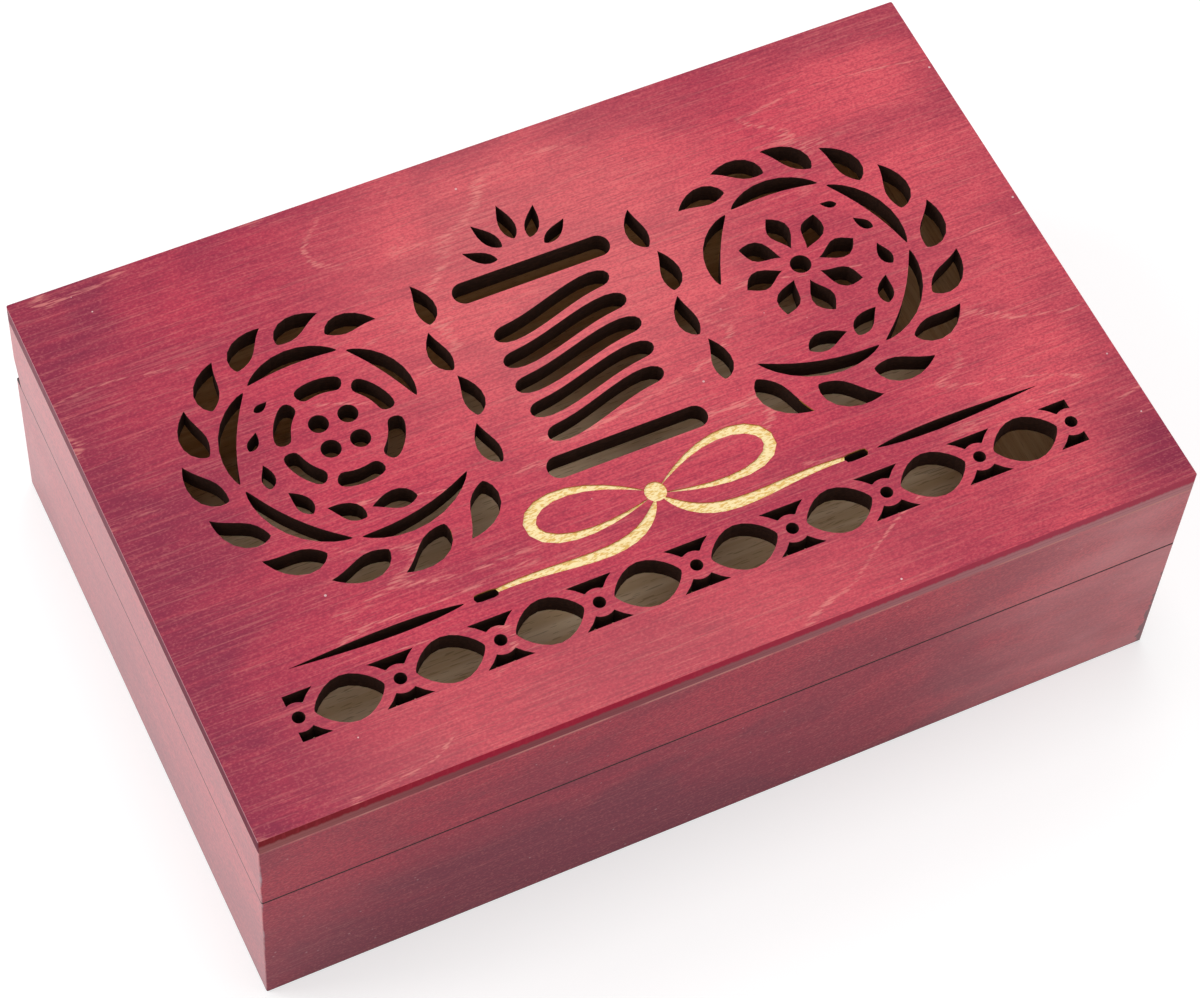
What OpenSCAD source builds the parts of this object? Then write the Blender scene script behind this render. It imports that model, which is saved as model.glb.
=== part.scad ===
// Wooden box for thread spools, with a hinged fretwork lid.
// The frame is millimetres, +X to the right, +Y to the back, +Z up.
// The origin is under the middle of the box, on the surface that it stands on.

/* [Box] */
// Length over the outside, left to right
box_l = 230; // [200:1:300]
// Depth over the outside, front to back
box_d = 150; // [140:1:200]
// Height of the base, up to the parting line
base_h = 45.5; // [30:0.5:80]
// Height of the lid frame, from the parting line to the panel
lid_h = 24; // [16:0.5:40]
// Thickness of the walls and of the lid rails
wall_t = 14; // [13:0.5:18]
// Radius of the worn upright corners
corner_r = 0.5; // [0.3:0.1:4]
// Width of the eased long edges
ease = 0.2; // [0.1:0.05:0.8]

/* [Floor] */
// Thickness of the plywood floor
floor_t = 3; // [2:0.5:6]
// Height of the floor's underside over the lower edge
floor_lift = 0.5; // [0.3:0.1:2]
// Width of the rebate that the floor is glued in
rebate_w = 6; // [3:0.5:8]
// Play round the floor in its rebate
floor_play = 0.15; // [0.05:0.05:0.4]

/* [Lid panel] */
// Thickness of the plywood panel
panel_t = 5.5; // [4:0.5:9]
// Depth of the engraved lines
engrave_d = 0.35; // [0.2:0.05:0.8]
// Width of the engraved thread
thread_w = 0.9; // [0.6:0.1:1.6]

/* [Rear bevel] */
// How far the bevel reaches in from the back face
bevel_in = 3.5; // [3:0.1:4.5]
// How far the bevel reaches up the back of the lid
bevel_up = 10; // [8:0.5:14]

/* [Hinges] */
// Distance from the middle of the box to the middle of each hinge
hinge_x = 62; // [40:1:75]
// Length of a hinge
hinge_l = 26; // [22:1:36]
// Radius of the knuckles
knuckle_r = 2; // [1.8:0.1:2.2]
// Distance of the pin's axis from the back face
axis_in = 2.3; // [2.2:0.1:2.6]
// Width of a leaf in front of the axis
leaf_w = 9.2; // [8.6:0.1:10]
// Thickness of a leaf
leaf_t = 0.9; // [0.7:0.1:1]
// Radius of the pin
pin_r = 0.9; // [0.7:0.05:1]
// Running clearance round the pin in the lid's knuckle
pin_play = 0.05; // [0.02:0.01:0.1]
// Gap between neighbouring knuckles
knuckle_gap = 0.3; // [0.2:0.05:0.5]
// Clearance round a hinge in its recess
recess_play = 0.3; // [0.2:0.05:0.5]

/* [Screws] */
// Radius of a screw's shank
screw_r = 0.9; // [0.7:0.05:1]
// Radius of a screw's head
screw_head_r = 1.6; // [1.4:0.05:1.8]
// Length of a screw
screw_l = 9; // [6:0.5:12]
// Distance between the two screws of a leaf
screw_pitch = 15; // [10:0.5:18]
// Clearance round a screw in its hole
screw_play = 0.05; // [0.02:0.01:0.1]

/* [Fretwork] */
// Plain wood between the inside of the frame and the pattern
art_margin = 4; // [2:0.5:8]
// Wood left between two neighbouring cut-outs
bridge = 2.2; // [1.8:0.1:2.6]
// Height of the spool
spool_h = 58; // [52:1:59]
// Width of the spool over its flanges
spool_w = 40; // [32:1:42]
// Width of a flange's slot
flange_w = 6; // [4:0.5:7]
// Number of winds of thread on the spool
winds = 5; // [4:1:6]
// Radius at which a scroll's vine begins
vine_outer_r = 30.5; // [29.5:0.25:31]
// Radius at which a scroll's vine ends
vine_inner_r = 20; // [19.75:0.25:21]
// Width of the vine's strokes
vine_w = 4.2; // [3:0.1:4.6]
// Number of strokes in one vine
vine_parts = 5; // [4:1:6]
// Length of a leaf on the vine
frond_l = 16; // [12:0.5:17]
// Width of a leaf on the vine
frond_w = 7; // [5:0.25:7.5]
// Radius of the button and of the flower
rosette_r = 15; // [14:0.25:15.25]
// Number of petals on the flower
petals = 8; // [6:1:9]
// Number of pointed cells in the border
border_cells = 8; // [6:1:10]
// Width of the border
border_w = 12; // [8:0.25:12.5]
// Radius of the beads in the border
bead_r = 1.5; // [1:0.1:1.7]
// Length of a needle's shaft
needle_l = 42; // [30:1:46]

/* [Hidden] */
$fn = 64;

dyed = "#a83a52";
raw_wood = "#b98f62";
brass = "#c9a24a";
steel = "#b8b8bc";

past = 1;                                   // how far a cutter runs past the face that it cuts
lap = 0.001;                                // overlap that joins two cutters into one
lid_z = base_h;                             // parting line, and height of the hinge axis
panel_z = base_h + lid_h;                   // underside of the panel
top_z = panel_z + panel_t;                  // top of the closed box
axis_y = box_d / 2 - axis_in;               // place of the hinge axis, front to back
leaf_gap = 0.2;                             // gap between the two closed leaves
mortise_d = leaf_t + leaf_gap / 2;          // depth of the recess under a leaf
plate_y = axis_y - knuckle_r - recess_play; // edge of a leaf's plate beside the knuckles
screw_y = (plate_y + axis_y - leaf_w) / 2;  // the screws lie along the middle of the plate
knuckle_share = 0.3;                        // share of the hinge's length in each outer knuckle
pin_head_r = 1.4;                           // peened ends keep the pin in
pin_head_t = 0.5;
pin_grip = pin_play / 4;                    // the outer knuckles hold the pin almost tight
head_h = screw_head_r - screw_r;            // a 90 degree countersink
screw_tip_r = 0.1;
driver_slot_w = 0.45;                       // slot in a screw's head
driver_slot_d = 0.35;
knuckles_l = hinge_l - 2 * knuckle_gap;     // the three knuckles without their gaps
end_knuckle = knuckles_l * knuckle_share;
mid_knuckle = knuckles_l - 2 * end_knuckle;

// Upright walls and rails

// A board along X on the front side, mitred at both ends, from a cross-section of depth and height.
module board(length, front_y, section) {
    difference() {
        translate([-length / 2, front_y, 0])
            rotate([90, 0, 90])
                linear_extrude(length)
                    polygon(section);
        for (side = [-1, 1])
            translate([side * length / 2, front_y, 0]) {
                mirror([side > 0 ? 1 : 0, 0, 0])
                    translate([0, 0, -past])
                        linear_extrude(base_h + lid_h + 2 * past) {
                            mitre_waste();
                            corner_waste();
                        }
            }
    }
}

// What a 45 degree mitre takes off the left end of a front board, in plan.
module mitre_waste() {
    reach = wall_t + past;
    polygon([[-past, -past], [reach, reach], [-past, reach]]);
}

// What the worn corner takes off a left front corner at the origin, in plan.
module corner_waste() {
    difference() {
        translate([-past, -past])
            square(corner_r + past);
        translate([corner_r, corner_r])
            circle(corner_r);
    }
}

// The same board for each side of the box: its length, and the turn that brings it there.
module on_side(side) {
    if (side == "front") children();
    if (side == "back") rotate([0, 0, 180]) children();
    if (side == "left") rotate([0, 0, -90]) children();
    if (side == "right") rotate([0, 0, 90]) children();
}
function side_length(side) = side == "front" || side == "back" ? box_l : box_d;
function side_offset(side) = side == "front" || side == "back" ? -box_d / 2 : -box_l / 2;

// Cross-section of a base wall: eased edges, and the rebate for the floor at its inner foot.
rebate_h = floor_lift + floor_t;
base_section = [
    [ease, 0], [wall_t - rebate_w, 0], [wall_t - rebate_w, rebate_h], [wall_t, rebate_h],
    [wall_t, base_h - ease], [wall_t - ease, base_h], [ease, base_h], [0, base_h - ease], [0, ease]
];

// Cross-section of a lid rail: eased at the parting line, square where the panel is glued on.
lid_section = [
    [ease, 0], [wall_t - ease, 0], [wall_t, ease], [wall_t, lid_h], [0, lid_h], [0, ease]
];

module base_wall(side) {
    on_side(side)
        board(side_length(side), side_offset(side), base_section);
}

module lid_rail(side) {
    difference() {
        translate([0, 0, lid_z])
            on_side(side)
                board(side_length(side), side_offset(side), lid_section);
        rear_bevel();
    }
}

// The bevel runs along the whole back of the lid. It lets the lid swing past upright,
// and stops it when it meets the top edge of the base.
module rear_bevel() {
    translate([-box_l / 2 - past, 0, lid_z])
        rotate([90, 0, 90])
            linear_extrude(box_l + 2 * past)
                polygon([
                    [box_d / 2 - bevel_in - past * bevel_in / bevel_up, -past],
                    [box_d / 2 + past * bevel_in / bevel_up, bevel_up + past],
                    [box_d / 2 + 2 * past, bevel_up + past],
                    [box_d / 2 + 2 * past, -past]
                ]);
}

// Recesses for both hinges. dir is -1 for the base, below the axis, and 1 for the lid.
module hinge_recesses(dir) {
    for (side = [-1, 1])
        translate([side * hinge_x, 0, lid_z])
            mirror([0, 0, dir > 0 ? 1 : 0]) {
                translate([-hinge_l / 2 - recess_play, axis_y - leaf_w - recess_play, -mortise_d])
                    cube([hinge_l + 2 * recess_play, leaf_w + recess_play, mortise_d + past]);
                translate([-hinge_l / 2 - pin_head_t - recess_play, axis_y - knuckle_r - recess_play,
                           -knuckle_r - recess_play])
                    cube([hinge_l + 2 * pin_head_t + 2 * recess_play,
                          knuckle_r + recess_play + axis_in + past, knuckle_r + recess_play + past]);
                for (along = [-1, 1])
                    translate([along * screw_pitch / 2, screw_y, -leaf_gap / 2])
                        mirror([0, 0, 1])
                            cylinder(r = screw_r + screw_play, h = screw_l + screw_play);
            }
}

module base_front_wall() {
    color(dyed)
        base_wall("front");
}

module base_back_wall() {
    color(dyed)
        difference() {
            base_wall("back");
            hinge_recesses(-1);
        }
}

module base_left_wall() {
    color(dyed)
        base_wall("left");
}

module base_right_wall() {
    color(dyed)
        base_wall("right");
}

module base_floor() {
    inset = wall_t - rebate_w + floor_play;
    color(raw_wood)
        translate([-box_l / 2 + inset, -box_d / 2 + inset, floor_lift])
            cube([box_l - 2 * inset, box_d - 2 * inset, floor_t]);
}

module lid_front_rail() {
    color(dyed)
        lid_rail("front");
}

module lid_back_rail() {
    color(dyed)
        difference() {
            lid_rail("back");
            hinge_recesses(1);
        }
}

module lid_left_rail() {
    color(dyed)
        lid_rail("left");
}

module lid_right_rail() {
    color(dyed)
        lid_rail("right");
}

// Hinges

// A leaf lies on the middle of its recess, dir -1 in the base and 1 in the lid. owns_mid says
// which of the three knuckles belong to it.
module hinge_leaf(dir, owns_mid) {
    mid_from = -mid_knuckle / 2;
    spans = owns_mid
        ? [[mid_from, mid_knuckle]]
        : [[-hinge_l / 2, end_knuckle], [hinge_l / 2 - end_knuckle, end_knuckle]];
    bore_r = pin_r + (owns_mid ? pin_play : pin_grip);
    tongue_y = axis_y - (knuckle_r + pin_r) / 2;
    translate([0, 0, lid_z])
        mirror([0, 0, dir > 0 ? 1 : 0])
            difference() {
                union() {
                    translate([-hinge_l / 2, axis_y - leaf_w, -mortise_d])
                        cube([hinge_l, plate_y - axis_y + leaf_w, leaf_t]);
                    for (span = spans) {
                        translate([span[0], axis_y - leaf_w, -mortise_d])
                            cube([span[1], tongue_y - axis_y + leaf_w, leaf_t]);
                        translate([span[0], axis_y, 0])
                            rotate([0, 90, 0])
                                cylinder(r = knuckle_r, h = span[1]);
                    }
                }
                translate([-hinge_l / 2 - past, axis_y, 0])
                    rotate([0, 90, 0])
                        cylinder(r = bore_r, h = hinge_l + 2 * past);
                for (along = [-1, 1])
                    translate([along * screw_pitch / 2, screw_y, -leaf_gap / 2])
                        mirror([0, 0, 1])
                            screw_hole();
            }
}

// A countersunk hole through a leaf, pointing up from its mouth.
module screw_hole() {
    cylinder(r1 = screw_head_r + screw_play, r2 = screw_r + screw_play, h = head_h);
    translate([0, 0, -past])
        cylinder(r = screw_head_r + screw_play, h = past + lap);
    cylinder(r = screw_r + screw_play, h = leaf_t + past);
}

// The pin through the knuckles, with both ends peened over.
module hinge_pin() {
    translate([-hinge_l / 2, axis_y, lid_z])
        rotate([0, 90, 0]) {
            translate([0, 0, -pin_head_t])
                cylinder(r = pin_head_r, h = pin_head_t);
            cylinder(r = pin_r, h = hinge_l);
            translate([0, 0, hinge_l])
                cylinder(r = pin_head_r, h = pin_head_t);
        }
}

// The two screws of one leaf: slotted countersunk heads, plain shanks and pointed ends.
module hinge_screws(dir) {
    tip_h = 2 * screw_r;
    translate([0, 0, lid_z])
        mirror([0, 0, dir > 0 ? 1 : 0])
            for (along = [-1, 1])
                translate([along * screw_pitch / 2, screw_y, -leaf_gap / 2])
                    mirror([0, 0, 1])
                        difference() {
                            union() {
                                cylinder(r1 = screw_head_r, r2 = screw_r, h = head_h);
                                cylinder(r = screw_r, h = screw_l - tip_h);
                                translate([0, 0, screw_l - tip_h])
                                    cylinder(r1 = screw_r, r2 = screw_tip_r, h = tip_h);
                            }
                            translate([-screw_head_r - past, -driver_slot_w / 2, -past])
                                cube([2 * screw_head_r + 2 * past, driver_slot_w, driver_slot_d + past]);
                        }
}

module left_hinge_base_leaf() {
    color(brass)
        translate([-hinge_x, 0, 0])
            hinge_leaf(-1, false);
}

module left_hinge_lid_leaf() {
    color(brass)
        translate([-hinge_x, 0, 0])
            hinge_leaf(1, true);
}

module left_hinge_pin() {
    color(steel)
        translate([-hinge_x, 0, 0])
            hinge_pin();
}

module left_hinge_base_screws() {
    color(brass)
        translate([-hinge_x, 0, 0])
            hinge_screws(-1);
}

module left_hinge_lid_screws() {
    color(brass)
        translate([-hinge_x, 0, 0])
            hinge_screws(1);
}

module right_hinge_base_leaf() {
    color(brass)
        translate([hinge_x, 0, 0])
            hinge_leaf(-1, false);
}

module right_hinge_lid_leaf() {
    color(brass)
        translate([hinge_x, 0, 0])
            hinge_leaf(1, true);
}

module right_hinge_pin() {
    color(steel)
        translate([hinge_x, 0, 0])
            hinge_pin();
}

module right_hinge_base_screws() {
    color(brass)
        translate([hinge_x, 0, 0])
            hinge_screws(-1);
}

module right_hinge_lid_screws() {
    color(brass)
        translate([hinge_x, 0, 0])
            hinge_screws(1);
}

// Fretwork outlines, drawn for a window of art_w by art_h and brought to the panel's own window

// Closely spaced towards both ends, where an outline turns fastest.
function ends_first(i, n) = (1 - cos(180 * i / n)) / 2;

// Width along an outline, as a share of its full width. t runs from 0 to 1. The power of t moves
// the widest place: towards the start of a leaf, towards the end of a petal.
function profile(kind, t) =
    kind == "pointed" ? pow(sin(180 * t), 0.7)
    : kind == "leaf" ? sin(180 * pow(t, 0.72))
    : kind == "petal" ? sin(180 * pow(t, 1.3))
    : kind == "tail" ? sin(180 * pow(t, 0.55)) + thread_w / ribbon_w * t
    : sqrt(1 - pow(abs(2 * t - 1), 8));

// A stroke that follows a spiral round the origin, from one angle and radius to another.
module spiral_stroke(r0, r1, a0, a1, w, kind = "pointed", n = 12) {
    function edge(t, s) = let (
        a = a0 + (a1 - a0) * t,
        r = r0 + (r1 - r0) * t + s * w / 2 * profile(kind, t)
    ) [r * cos(a), r * sin(a)];
    polygon(concat(
        [for (i = [0:n]) edge(ends_first(i, n), 1)],
        [for (i = [n - 1:-1:1]) edge(ends_first(i, n), -1)]
    ));
}

// A leaf from the origin along X, whose middle line bends by an angle, to the left if positive.
module bent_leaf(length, w, bend = 0, kind = "leaf", n = 10) {
    turn = abs(bend) < 1 ? 1 : bend;
    arc_r = length / turn * 180 / PI;
    function edge(t, s) = let (
        a = turn * t,
        side = s * w / 2 * profile(kind, t)
    ) [arc_r * sin(a) - side * sin(a), arc_r * (1 - cos(a)) + side * cos(a)];
    polygon(concat(
        [for (i = [0:n]) edge(ends_first(i, n), 1)],
        [for (i = [n - 1:-1:1]) edge(ends_first(i, n), -1)]
    ));
}

// A pen stroke along a cubic curve with four control points.
function curve(p, t) = pow(1 - t, 3) * p[0] + 3 * pow(1 - t, 2) * t * p[1]
    + 3 * (1 - t) * t * t * p[2] + pow(t, 3) * p[3];
function heading(p, t) = let (
    d = pow(1 - t, 2) * (p[1] - p[0]) + 2 * (1 - t) * t * (p[2] - p[1]) + t * t * (p[3] - p[2])
) d / norm(d);
module pen(p, w, kind = "pointed", n = 16) {
    function edge(t, s) = let (d = heading(p, t), side = s * w / 2 * profile(kind, t))
        curve(p, t) + side * [-d.y, d.x];
    polygon(concat(
        [for (i = [0:n]) edge(ends_first(i, n), 1)],
        [for (i = [kind == "tail" ? n : n - 1:-1:1]) edge(ends_first(i, n), -1)]
    ));
}

// A slot with round ends, centred, along X.
module slot(length, w) {
    square([length - w, w], center = true);
    for (side = [-1, 1])
        translate([side * (length - w) / 2, 0])
            circle(d = w);
}

module both_sides() {
    for (side = [0, 1])
        mirror([side, 0])
            children();
}

// One scroll: a vine in strokes that winds in round a centre, with leaves outside it and inside it.
vine_start = 222;
vine_turn = 315;
outer_leaves = 11;
outer_step = 24;
inner_leaves = 6;
inner_step = 30;
least_room = 2;
function vine_r(a) = vine_outer_r + (vine_inner_r - vine_outer_r) * (a - vine_start) / vine_turn;

module scroll_vine() {
    step = vine_turn / vine_parts;
    off = vine_w / 2 + bridge;
    for (k = [0:vine_parts - 1]) {
        from = vine_start + k * step;
        gap = bridge / 2 / vine_r(from) * 180 / PI;
        spiral_stroke(vine_r(from), vine_r(from + step), from + gap, from + step - gap, vine_w);
    }
    for (k = [0:outer_leaves - 1]) {
        a = vine_start + 4 + k * outer_step;
        size = 1 - 0.02 * k;
        rotate(a)
            translate([vine_r(a) + off, 0])
                rotate(52)
                    bent_leaf(frond_l * size, frond_w * size, 50);
    }
    // The inner leaves get smaller with the room between the vine and the rosette.
    for (k = [0:inner_leaves - 1]) {
        a = vine_start + 26 + k * inner_step;
        room = vine_r(a) - off - rosette_r - bridge;
        if (room > least_room)
            rotate(a)
                translate([vine_r(a) - off - room * 0.1, 0])
                    rotate(132)
                        bent_leaf(room * 1.3, room * 0.64, -25);
    }
}

// A four-hole button: a broken ring round four thread holes.
module button() {
    ring_w = rosette_r * 0.27;
    ring_r = rosette_r - ring_w / 2;
    hole_r = rosette_r * 0.16;
    hole_from_middle = rosette_r * 0.34;
    parts = 6;
    gap = bridge / ring_r * 90 / PI;
    for (k = [0:parts - 1])
        rotate(k * 360 / parts)
            spiral_stroke(ring_r, ring_r, gap, 360 / parts - gap, ring_w, "round");
    for (k = [0:3])
        rotate(45 + k * 90)
            translate([hole_from_middle, 0])
                circle(hole_r);
}

// A flower with pointed petals round an open eye.
module flower() {
    eye_r = rosette_r * 0.17;
    petal_l = rosette_r - eye_r - bridge;
    petal_w = rosette_r * 3 / petals;
    for (k = [0:petals - 1])
        rotate(k * 360 / petals)
            translate([eye_r + bridge, 0])
                bent_leaf(petal_l, petal_w, 20, "petal");
    circle(eye_r);
}

// A spool seen from the side, wound with slanting thread.
module spool() {
    rise = 5;
    body_h = spool_h - 2 * (flange_w + bridge);
    pitch = (body_h - rise) / winds;
    for (end = [-1, 1])
        translate([0, end * (spool_h - flange_w) / 2])
            slot(spool_w, flange_w);
    for (k = [0:winds - 1]) {
        y = (k + 0.5 - winds / 2) * pitch;
        half = spool_w * (0.37 + 0.06 * cos(180 * y / body_h));   // fuller in the middle
        pen([[-half, y - rise / 2], [-half / 2, y - rise], [half / 2, y + rise], [half, y + rise / 2]],
            pitch - bridge, "round");
    }
}

// Leaves that fan out over the spool, the middle one longest.
fan_from = 6.6;
fan_leaf_l = 10.4;
fan_leaf_w = 3.9;
module fan() {
    spread = 33;
    for (k = [-2:2])
        rotate(90 - k * spread)
            translate([fan_from, 0])
                scale(1 - 0.09 * abs(k))
                    bent_leaf(fan_leaf_l, fan_leaf_w, k * 10);
}

// Leaves that climb beside the spool, leaning to either side in turn.
module sprig() {
    leaf_l = 12;
    leaf_width = 5;
    climb = 13.5;
    for (k = [0:3])
        translate([0, k * climb])
            rotate(k % 2 == 0 ? 64 : 110)
                bent_leaf(leaf_l, leaf_width, k % 2 == 0 ? 40 : -40);
}

// The border along the front: pointed cells with a bead between each two, and darts over and under
// the beads that fill the strip.
module border() {
    run = art_w - 2 * bead_r;
    pitch = run / border_cells;
    for (k = [0:border_cells - 1])
        translate([-run / 2 + (k + 0.5) * pitch, 0])
            border_cell(pitch, 0);
    for (k = [0:border_cells])
        translate([-run / 2 + k * pitch, 0])
            circle(bead_r);
    difference() {
        square([art_w, border_w], center = true);
        for (k = [0:border_cells - 1])
            translate([-run / 2 + (k + 0.5) * pitch, 0])
                border_cell(pitch, bridge);
        for (k = [0:border_cells])
            translate([-run / 2 + k * pitch, 0])
                circle(bead_r + bridge);
    }
}

// A pointed cell, centred, grown all round by a margin.
module border_cell(pitch, margin) {
    tip = pitch / 2 - bead_r - bridge + 1.5 * margin;
    translate([-tip, 0])
        bent_leaf(2 * tip, border_w + 2 * margin, 0, "pointed", 12);
}

// A sewing needle along X, with its eye apart from its shaft.
needle_eye_l = 6;
needle_eye_w = 2.2;
needle_w = 2.6;
module needle() {
    bent_leaf(needle_eye_l, needle_eye_w, 0, "round", 6);
    translate([needle_eye_l + bridge, 0])
        bent_leaf(needle_l, needle_w, 0, "leaf", 12);
}

// Places in the window, stacked from the border along the front to the fan at the back
needle_rise = 5.5;
bow_rise = 9.5;
spool_rise = 11.5;
art_w = 194;
art_h = border_w + needle_rise + bow_rise + spool_rise + spool_h + fan_from + fan_leaf_l;
art_scale = min((box_l - 2 * (wall_t + art_margin)) / art_w, (box_d - 2 * (wall_t + art_margin)) / art_h);
border_at = [0, (border_w - art_h) / 2];
needle_at = [43, border_at.y + border_w / 2 + needle_rise];
bow_at = [0, needle_at.y + bow_rise];
spool_at = [0, bow_at.y + spool_rise + spool_h / 2];
scroll_at = [58.5, spool_at.y + 2.5];
sprig_at = [28, spool_at.y - 19.5];

module fretwork() {
    both_sides()
        translate(scroll_at)
            scroll_vine();
    translate([-scroll_at.x, scroll_at.y])
        button();
    translate(scroll_at)
        flower();
    translate(spool_at)
        spool();
    translate(spool_at + [0, spool_h / 2])
        fan();
    both_sides()
        translate(sprig_at)
            sprig();
    both_sides()
        translate(needle_at)
            needle();
    translate(border_at)
        border();
}

// Engraved lines: a ribbon tied in a bow, whose tails thin to a thread that is led through the eye
// of each needle.
knot_r = 2.6;
loop_w = 3;
loop_reach = 44;
ribbon_w = 2.6;
module engraving() {
    eye = needle_at - bow_at + [needle_eye_l / 2, 0];
    loop = [[0.036, 0.02], [0.77, 0.52], [1, -0.31], [0.036, -0.02]] * loop_reach;
    tail = [[0.02, -0.04], [0.22, -0.35], [0.57, -0.15]] * eye.x;
    translate(bow_at) {
        circle(knot_r);
        both_sides() {
            pen(loop, loop_w, "pointed", 20);
            pen(concat(tail, [eye]), ribbon_w, "tail", 20);
        }
    }
}

// A rectangle with worn corners, as large as the box.
module outline() {
    difference() {
        square([box_l, box_d], center = true);
        for (x = [0, 1], y = [0, 1])
            mirror([x, 0])
                mirror([0, y])
                    translate([-box_l / 2, -box_d / 2])
                        corner_waste();
    }
}

module lid_panel() {
    color(dyed)
        difference() {
            translate([0, 0, panel_z])
                linear_extrude(panel_t)
                    difference() {
                        outline();
                        scale(art_scale)
                            fretwork();
                    }
            translate([0, 0, top_z - engrave_d])
                linear_extrude(engrave_d + past)
                    scale(art_scale)
                        engraving();
        }
}

base_front_wall();
base_back_wall();
base_left_wall();
base_right_wall();
base_floor();
lid_front_rail();
lid_back_rail();
lid_left_rail();
lid_right_rail();
lid_panel();
left_hinge_base_leaf();
left_hinge_lid_leaf();
left_hinge_pin();
left_hinge_base_screws();
left_hinge_lid_screws();
right_hinge_base_leaf();
right_hinge_lid_leaf();
right_hinge_pin();
right_hinge_base_screws();
right_hinge_lid_screws();
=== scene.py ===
"""Looks of a wooden box for thread spools, with a hinged fretwork lid dyed crimson.

The CAD gives every piece its shape and place. This script gives each piece its finish, and sets up
a plain pale studio with the camera of the photograph. Lengths on the box are millimetres from the
middle of its foot. Those of the studio are metres, as Blender's own are.
"""

import logging
import math
from abc import ABC, abstractmethod
from dataclasses import dataclass
from enum import Enum
from typing import Any

import bpy
from mathutils import Matrix, Vector


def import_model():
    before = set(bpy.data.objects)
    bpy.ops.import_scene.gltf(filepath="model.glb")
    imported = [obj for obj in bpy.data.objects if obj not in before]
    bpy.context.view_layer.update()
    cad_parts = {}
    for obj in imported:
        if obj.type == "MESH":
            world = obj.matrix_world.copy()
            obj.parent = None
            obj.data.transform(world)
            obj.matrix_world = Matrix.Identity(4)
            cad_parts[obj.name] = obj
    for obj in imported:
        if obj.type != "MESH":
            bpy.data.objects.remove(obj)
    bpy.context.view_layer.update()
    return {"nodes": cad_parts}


log = logging.getLogger("spool_box")

MM = 0.001

Tree = bpy.types.NodeTree
Node = bpy.types.Node
Link = Any  # a node, an output socket, a plain value or an sRGB hex colour
Colour = tuple[float, float, float, float]

SMOOTH = {"interpolation_type": "SMOOTHSTEP"}  # a Map Range node that eases in and out
OVER = {"data_type": "RGBA", "clamp_factor": True}  # a Mix node that lays colour over colour


def linear(colour: str) -> Colour:
    """Turns an sRGB hex colour into linear light.

    Args:
        colour: The colour, written as "#rrggbb".

    Returns:
        Red, green, blue and an alpha of 1.
    """
    parts = [int(colour[i : i + 2], 16) / 255 for i in (1, 3, 5)]
    # The sRGB curve is straight near black and a power above it.
    red, green, blue = [
        c / 12.92 if c <= 0.04045 else ((c + 0.055) / 1.055) ** 2.4 for c in parts
    ]
    return red, green, blue, 1.0


def grey(share: float) -> Colour:
    """Gives the linear colour of a neutral surface or lamp from its share of full white."""
    return share, share, share, 1.0


def feed(tree: Tree, node: Node, inputs: dict[Any, Link] | list[Link]) -> None:
    """Sets a node's inputs.

    Args:
        tree: The node tree.
        node: The node.
        inputs: What feeds each socket, by its name or number, or in the order of those in use.
    """
    if isinstance(inputs, dict):
        pairs = [(node.inputs[key], value) for key, value in inputs.items()]
    else:
        pairs = list(zip([socket for socket in node.inputs if socket.enabled], inputs))
    for socket, value in pairs:
        if isinstance(value, Node):
            value = next(output for output in value.outputs if output.enabled)
        if isinstance(value, bpy.types.NodeSocket):
            tree.links.new(value, socket)
        else:
            socket.default_value = linear(value) if isinstance(value, str) else value


def add(
    tree: Tree, kind: str, inputs: dict[Any, Link] | list[Link] | None = None, **settings: Any
) -> Node:
    """Adds a node with its settings, its values and its links.

    Args:
        tree: The node tree that gets the node.
        kind: The node's type after "ShaderNode", such as "Math".
        inputs: What feeds each socket, by its name or number, or in the order of those in use.
        **settings: Properties of the node itself.

    Returns:
        The new node.
    """
    node = tree.nodes.new("ShaderNode" + kind)
    for name, value in settings.items():
        setattr(node, name, value)
    feed(tree, node, inputs or [])
    return node


@dataclass(frozen=True)
class Step:
    """A soft step between two levels of a value, and what comes out before and after it.

    Where the start lies above the end, the step runs downwards.
    """

    start: float
    end: float
    before: float = 0.0
    after: float = 1.0

    def times(self, strength: float) -> "Step":
        """Gives the same step with what comes out scaled."""
        return Step(self.start, self.end, self.before * strength, self.after * strength)

    def of(self, value: Link) -> list[Link]:
        """Gives what feeds a Map Range node that sends a value through the step."""
        return [value, self.start, self.end, self.before, self.after]


class Grain(Enum):
    """Which way the grain of a board runs, as a turn about Z that brings it to X."""

    ALONG_X = 0.0
    ALONG_Y = 90.0


@dataclass(frozen=True)
class BoxSizes:
    """Outside sizes of the closed box, which place the patterns on its faces."""

    half_length: float = 115.0
    half_depth: float = 75.0
    parting: float = 45.5
    panel_under: float = 69.5
    top: float = 75.0
    bevel_in: float = 3.5
    bevel_up: float = 10.0


BOX = BoxSizes()


@dataclass(frozen=True)
class Streaks:
    """Noise drawn out along the grain, and the step that shows a part of it.

    The length and width of a streak are millimetres. The noise runs from 0 to 1, in as many
    octaves as its detail says, and its streaks wander as far as its wobble says.
    """

    along: float
    across: float
    shows: Step = Step(0.0, 1.0)
    detail: float = 3.0
    wobble: float = 0.0


@dataclass(frozen=True)
class Spot:
    """A round place, by its middle and by how it fades with the distance from there."""

    middle: tuple[float, float, float]
    fade: Step


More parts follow.
